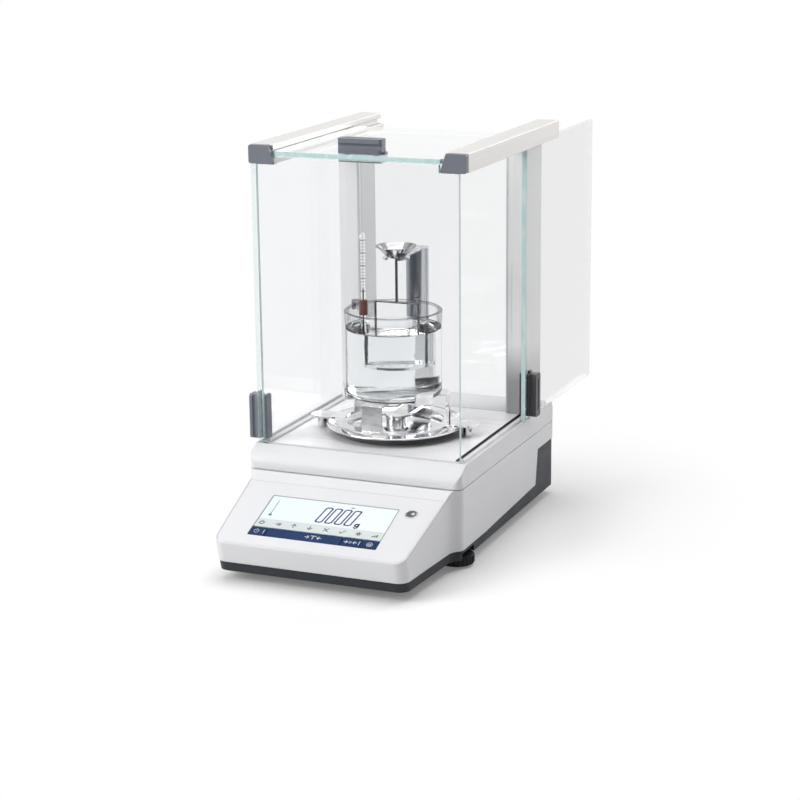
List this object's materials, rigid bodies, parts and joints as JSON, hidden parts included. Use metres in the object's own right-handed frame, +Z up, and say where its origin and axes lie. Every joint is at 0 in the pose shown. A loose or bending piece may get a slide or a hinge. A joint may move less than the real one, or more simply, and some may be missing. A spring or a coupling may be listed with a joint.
{
  "type": "analytical balance with draft shield",
  "caption": "Analytical balance: white housing with a sloped display nose, glass draft shield with sliding doors, and a density kit with beaker, platform, bracket and hanging basket.",
  "frame": {"origin": "on the bench, under the weighing axis at the middle of the pan carrier", "axes": "+X to the user's right, +Y to the rear (the control nose faces -Y), +Z up"},
  "size_m": [0.208, 0.4465, 0.3515],
  "materials": {
    "white_shell": "fine satin moulded white",
    "dark_shell": "fine matte moulded charcoal",
    "slate_fittings": "matte moulded slate grey",
    "clear_glass": "polished float glass with aqua edges",
    "beaker_glass": "clear blown glass",
    "rail_metal": "fine brushed satin",
    "column_metal": "upright brushed",
    "floor_metal": "brushed, half bright",
    "kit_metal": "polished stainless",
    "seal_rubber": "matte black",
    "display": "lit white-blue display",
    "key_blue": "glossy dark blue film",
    "level_liquid": "clear vial with pale liquid",
    "clip_red": "red-brown moulded",
    "cell_metal": "milled",
    "magnet_iron": "dark plated",
    "coil_copper": "enamelled copper",
    "screw_steel": "zinc plated",
    "bush_brass": "turned",
    "board_green": "solder-masked board"
  },
  "bodies": {
    "frame": {"lower_housing": "white_shell", "upper_housing": "white_shell", "control_panel": "white_shell", "sill_stops": "white_shell", "base_pan": "dark_shell", "rear_cover": "dark_shell", "level_housing": "dark_shell", "left_rail_cap": "slate_fittings", "right_rail_cap": "slate_fittings", "front_glass": "clear_glass", "rear_glass": "clear_glass", "beaker": "beaker_glass", "left_rail": "rail_metal", "right_rail": "rail_metal", "left_column": "column_metal", "right_column": "column_metal", "floor_plate": "floor_metal", "drip_tray": "kit_metal", "platform": "kit_metal", "serial_port": "kit_metal", "sill_seals": "seal_rubber", "column_seals": "seal_rubber", "rear_feet": "seal_rubber", "dc_inlet": "seal_rubber", "display_module": "display", "level_vial": "level_liquid", "thermometer_clip": "clip_red", "weigh_cell": "cell_metal", "cell_magnet": "magnet_iron", "base_screws": "screw_steel", "cell_screws": "screw_steel", "foot_bushes": "bush_brass", "main_board": "board_green", "display_board": "board_green"},
    "left_door": {"left_door_glass": "clear_glass", "left_door_handle": "slate_fittings", "left_door_clamp": "slate_fittings"},
    "right_door": {"right_door_glass": "clear_glass", "right_door_handle": "slate_fittings", "right_door_clamp": "slate_fittings"},
    "top_door": {"top_door_glass": "clear_glass", "top_door_handle": "slate_fittings", "top_door_clamp": "slate_fittings"},
    "weighing_system": {"pan_carrier": "cell_metal", "coil_lever": "coil_copper", "bracket_base": "kit_metal", "bracket_column": "kit_metal"},
    "dish_and_basket": {"weighing_dish": "kit_metal", "hanger": "kit_metal", "basket": "kit_metal"},
    "thermometer": {"thermometer": "beaker_glass"},
    "on_off_key": {"on_off_key": "key_blue"},
    "tare_key": {"tare_key": "key_blue"},
    "zero_key": {"zero_key": "key_blue"},
    "print_key": {"print_key": "key_blue"},
    "left_foot_pad": {"left_foot_pad": "seal_rubber"},
    "left_foot_wheel": {"left_foot_wheel": "dark_shell"},
    "right_foot_pad": {"right_foot_pad": "seal_rubber"},
    "right_foot_wheel": {"right_foot_wheel": "dark_shell"}
  },
  "joints": [
    {"name": "left_door_slide", "type": "slide", "parent": "frame", "child": "left_door", "axis": [0, 1, 0], "range_m": [0, 0.15]},
    {"name": "right_door_slide", "type": "slide", "parent": "frame", "child": "right_door", "axis": [0, 1, 0], "range_m": [-0.148, 0.002]},
    {"name": "top_door_slide", "type": "slide", "parent": "frame", "child": "top_door", "axis": [0, 1, 0], "range_m": [0, 0.14]},
    {"name": "weighing_stroke", "type": "slide", "parent": "frame", "child": "weighing_system", "axis": [0, 0, 1], "range_m": [-0.0004, 0.0001], "stiffness_N_per_m": 30000, "springref_m": 0.0001},
    {"name": "dish_lift", "type": "slide", "parent": "weighing_system", "child": "dish_and_basket", "axis": [0, 0, 1], "range_m": [0, 0.03]},
    {"name": "thermometer_lift", "type": "slide", "parent": "frame", "child": "thermometer", "axis": [0, 0, 1], "range_m": [0, 0.06]},
    {"name": "on_off_key_press", "type": "slide", "parent": "frame", "child": "on_off_key", "axis": [0, -0.3385, 0.941], "range_m": [-0.0004, 0], "stiffness_N_per_m": 3000, "springref_m": 0.0003},
    {"name": "tare_key_press", "type": "slide", "parent": "frame", "child": "tare_key", "axis": [0, -0.3385, 0.941], "range_m": [-0.0004, 0], "stiffness_N_per_m": 3000, "springref_m": 0.0003},
    {"name": "zero_key_press", "type": "slide", "parent": "frame", "child": "zero_key", "axis": [0, -0.3385, 0.941], "range_m": [-0.0004, 0], "stiffness_N_per_m": 3000, "springref_m": 0.0003},
    {"name": "print_key_press", "type": "slide", "parent": "frame", "child": "print_key", "axis": [0, -0.3385, 0.941], "range_m": [-0.0004, 0], "stiffness_N_per_m": 3000, "springref_m": 0.0003},
    {"name": "left_foot_height", "type": "slide", "parent": "frame", "child": "left_foot_pad", "axis": [0, 0, 1], "range_m": [-0.0031, 0.0031]},
    {"name": "left_foot_turn", "type": "hinge", "parent": "left_foot_pad", "child": "left_foot_wheel", "pos_m": [-0.086, -0.077, 0.006], "axis": [0, 0, 1], "range_deg": [-1080, 1080]},
    {"name": "right_foot_height", "type": "slide", "parent": "frame", "child": "right_foot_pad", "axis": [0, 0, 1], "range_m": [-0.0031, 0.0031]},
    {"name": "right_foot_turn", "type": "hinge", "parent": "right_foot_pad", "child": "right_foot_wheel", "pos_m": [0.086, -0.077, 0.006], "axis": [0, 0, 1], "range_deg": [-1080, 1080]}
  ],
  "couplings": [
    {"joint": "left_foot_height", "follows": "left_foot_turn", "m_per_rad": 0.00015915},
    {"joint": "right_foot_height", "follows": "right_foot_turn", "m_per_rad": 0.00015915}
  ]
}
